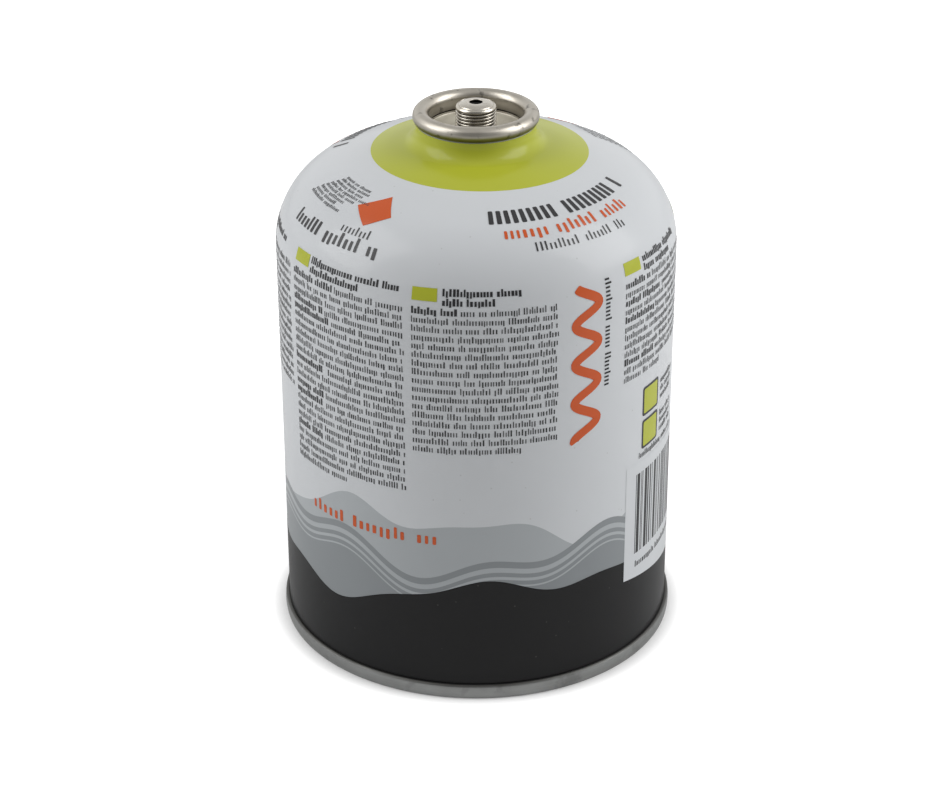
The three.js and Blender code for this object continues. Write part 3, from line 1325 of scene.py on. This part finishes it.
    def column(self, film: InkFilm, rng: random.Random, place: Column) -> None:
        """A column of fine text, its first words bold and its last row short."""
        start, end = place.start, place.end
        rows = int((self.column_top - place.low) / self.line_pitch)
        for row in range(rows):
            base = self.column_top - self.first_foot - row * self.line_pitch
            finish = end
            if row == rows - 1:
                finish = start + (end - start) * rng.uniform(*self.last_row_share)
            if row == 0 or rng.random() < self.bold_chance:
                split = start + (end - start) * rng.uniform(*self.bold_share)
                film.text(rng, FINE_BOLD, start, split, base)
                film.text(rng, FINE, split + self.bold_gap, finish, base)
            else:
                film.text(rng, FINE, start, finish, base)

    def text(self) -> None:
        """The dark text: columns, headings and the lines on the shoulder."""
        film = self.film("dark_text_print", TEXT_INK, Layer.SIXTH)
        rng = random.Random(self.seed)
        for place in self.columns:
            self.column(film, rng, place)
            widths = (place.first_heading, place.second_heading)
            for width, foot in zip(widths, self.heading_feet):
                left = place.start + self.heading_indent
                film.text(rng, FINE_BOLD, left, place.start + width, foot)
        for shift in (0.0, self.back_shift):
            for script, start, end, foot in self.shoulder_lines:
                film.text(rng, script, start + shift, end + shift, foot)
            for row in range(self.note_rows):
                left = self.note_start[0] + self.note_step[0] * row + shift
                foot = self.note_start[1] + self.note_step[1] * row
                film.text(rng, SMALLEST, left, left + rng.uniform(*self.note_lengths), foot)
        self.side_bars(film, rng)
        for start in self.ladders:
            for number in range(self.ladder_rungs):
                low = self.ladder_low + self.ladder_pitch * number
                if number not in self.ladder_gaps:
                    end = start + rng.choice(self.rung_widths)
                    film.block(start, end, low, low + self.rung_height)
        film.build()

    def side_bars(self, film: InkFilm, rng: random.Random) -> None:
        """The block of plain bars and the small lines with it, and the squares' frames."""
        marks = []
        at, end = self.bar_span
        while at < end:
            width = rng.choice(self.bar_widths)
            marks.append((at, at + width, *self.bar_heights))
            at += width + rng.choice(self.bar_gaps)
        film.strokes(marks, 1, 0.0)
        for line in self.bar_lines:
            film.text(rng, *line)
        for low in self.square_lows:
            film.block(*self.square_span, low, low + self.square_size, self.square_rounds[0])
            for foot in self.square_note_feet:
                film.text(rng, FINE, *self.square_note_span, low + foot)

    def spot_colours(self) -> None:
        """The orange shapes and the yellow-green tags and squares."""
        rng = random.Random(self.seed + 1)
        orange = self.film("orange_print", ORANGE_INK, Layer.SIXTH)
        for shift in (0.0, self.back_shift):
            start, end, foot = self.orange_shoulder
            orange.text(rng, ORANGE_LINE, start + shift, end + shift, foot)
            orange.quad([(around + shift, up) for around, up in self.patch], 10)
        for middle in self.ribbons:
            orange.ribbon(
                lambda up, middle=middle: middle
                + self.ribbon_swing * math.sin(FULL_TURN * up / self.ribbon_pitch),
                *self.ribbon_span,
                self.ribbon_width,
            )
        orange.text(rng, ORANGE_LINE, *self.orange_foot)
        orange.build()
        lime = self.film("lime_tag_print", LIME_INK, Layer.SIXTH)
        width, low, high = self.tag
        for place in self.columns:
            lime.block(place.tag_start, place.tag_start + width, low, high)
        lime.build()
        inner = self.film("lime_square_print", LIME_INK, Layer.SEVENTH)
        frame_width, (left, right) = self.square_frame, self.square_span
        for low in self.square_lows:
            edges = (left + frame_width, right - frame_width, low + frame_width)
            top = low + self.square_size - frame_width
            inner.block(*edges, top, self.square_rounds[1])
        inner.build()

    def build(self) -> None:
        """Lays each ink in the order of printing."""
        self.collar()
        self.base_bands()
        self.label_field()
        self.text()
        self.spot_colours()


# --------------------------------------------------------------------------- studio


class Softbox(NamedTuple):
    """A soft light, its place and size in metres, that faces the can's middle."""

    name: str
    place: tuple[float, float, float]
    size: Pair
    watts: float
    aim: tuple[float, float, float] = (0.0, 0.0, 0.08)

    def build(self) -> None:
        """Makes the area light."""
        data = bpy.data.lights.new(self.name, "AREA")
        data.shape = "RECTANGLE"
        data.size, data.size_y = self.size
        data.energy = self.watts
        lamp = add_object(self.name, data)
        lamp.location = self.place
        direction = Vector(self.aim) - Vector(self.place)
        lamp.rotation_euler = direction.to_track_quat("-Z", "Y").to_euler()


@dataclass
class Studio:
    """Camera, white floor and soft light.

    The camera's place and angles, in millimetres and degrees, were fitted to the outlines in
    the photograph. The floor's lift is how much of the white it gives out itself: little close
    round the can's foot, where it paints a tight contact shadow, more beside it, and all far out.
    """

    eye: tuple[float, float, float] = (6.568, -643.66, 393.56)
    angles_deg: tuple[float, float, float] = (26.96975, -0.74966, -0.18734)
    lens: float = 97.39
    floor_radius: float = 4.0
    floor_grey: float = 0.8
    floor_lift: float = 0.62
    contact: Pair = (56.5, 60.0)
    contact_lift: float = 0.2
    far_radius: float = 400.0
    floor_in_gloss: float = 0.1
    front_edge: Pair = (-0.92, -0.28)
    front_level: float = 0.1
    side_level: float = 0.54
    overhead_edge: Pair = (0.25, 0.85)
    overhead_share: float = 0.66
    gloss_gain: float = 1.7
    softboxes: tuple[Softbox, ...] = (
        Softbox("left_softbox", (-0.71, -0.1, 0.64), (0.6, 0.8), 3.7),
        Softbox("right_softbox", (0.74, -0.06, 0.6), (0.6, 0.8), 4.5),
    )

    def camera(self) -> None:
        """The photograph's camera."""
        pitch, yaw, roll = (math.radians(angle) for angle in self.angles_deg)
        ahead = Vector(
            (math.sin(yaw) * math.cos(pitch), math.cos(yaw) * math.cos(pitch), -math.sin(pitch))
        )
        level = Vector((math.cos(yaw), -math.sin(yaw), 0.0))
        upright = level.cross(ahead)
        right = math.cos(roll) * level + math.sin(roll) * upright
        up = math.cos(roll) * upright - math.sin(roll) * level
        data = bpy.data.cameras.new("camera")
        data.lens = self.lens
        data.sensor_width = 36.0
        data.sensor_fit = "HORIZONTAL"
        data.clip_start = 0.01
        camera = add_object("camera", data)
        turn = Matrix((right, up, -ahead)).transposed().to_4x4()
        camera.matrix_world = Matrix.Translation(Vector(self.eye) * MM) @ turn
        bpy.context.scene.camera = camera

    def floor(self) -> None:
        """A pale round floor that reads as white, keeps the can's shadow, and has a painted
        contact shadow round the foot.
        """
        bm = bmesh.new()
        bmesh.ops.create_circle(bm, cap_ends=True, radius=self.floor_radius, segments=96)
        mesh = to_mesh(bm, "floor")
        material = bpy.data.materials.new("white_paper_floor")
        add = start_tree(material)
        grey = self.floor_grey
        paper = add("BsdfDiffuse", {"Color": (grey, grey, grey, 1.0)})
        reach = add("VectorMath", (add("TexCoord").outputs["Object"],), operation="LENGTH")
        inner, outer, horizon = (size * MM for size in (*self.contact, self.far_radius))
        # Painted shadow: the floor gives out less white close round the can's foot.
        near = add("MapRange", (reach, inner, outer, self.contact_lift, self.floor_lift))
        far = add("MapRange", (reach, outer, horizon, 0.0, 1.0 - self.floor_lift))
        rays = add("LightPath").outputs
        shine = add("Math", (rays["Is Glossy Ray"], self.floor_in_gloss), operation="MULTIPLY")
        seen = add("Math", (rays["Is Camera Ray"], shine), operation="MAXIMUM")
        lift = add("Math", (seen, add("Math", (near, far))), operation="MULTIPLY")
        glow = add("Emission", {"Color": WHITE, "Strength": lift})
        add("OutputMaterial", {"Surface": add("AddShader", (paper, glow))})
        mesh.materials.append(material)
        add_object("floor", mesh)

    def surroundings(self) -> None:
        """A light tent, dim on the photographer's side and overhead, white to the camera."""
        world = bpy.data.worlds.new("light_tent")
        bpy.context.scene.world = world
        add = start_tree(world)
        parts = add("SeparateXYZ", (add("TexCoord").outputs["Generated"],)).outputs
        levels = (self.front_level, self.side_level)
        soft = {"interpolation_type": "SMOOTHSTEP"}
        beside = add("MapRange", (parts["Y"], *self.front_edge, *levels), **soft)
        overhead = add(
            "MapRange", (parts["Z"], *self.overhead_edge, 1.0, self.overhead_share), **soft
        )
        level = add("Math", (beside, overhead), operation="MULTIPLY")
        rays = add("LightPath").outputs
        gain = add("MapRange", {"Value": rays["Is Glossy Ray"], 3: 1.0, 4: self.gloss_gain})
        seen = add("Math", (level, gain), operation="MULTIPLY")
        strength = add("Mix", {"Factor": rays["Is Camera Ray"], "A": seen, "B": 1.0})
        tent = add("Background", {"Color": WHITE, "Strength": strength})
        add("OutputWorld", {"Surface": tent})

    def build(self) -> None:
        """Makes the whole studio and sets the view."""
        self.camera()
        self.floor()
        self.surroundings()
        for box in self.softboxes:
            box.build()
        bpy.context.scene.view_settings.view_transform = "Standard"


def main() -> None:
    """Builds the canister's pieces in order."""
    logging.basicConfig(level=logging.INFO, format="%(name)s: %(message)s")
    outline = CanOutline()
    for maker in (
        Studio(),
        CanShell(outline),
        BottomEnd(),
        ValveCup(),
        ValveSpring(),
        ValveInside(),
        Print(outline),
    ):
        maker.build()


if __name__ == "__main__":
    main()
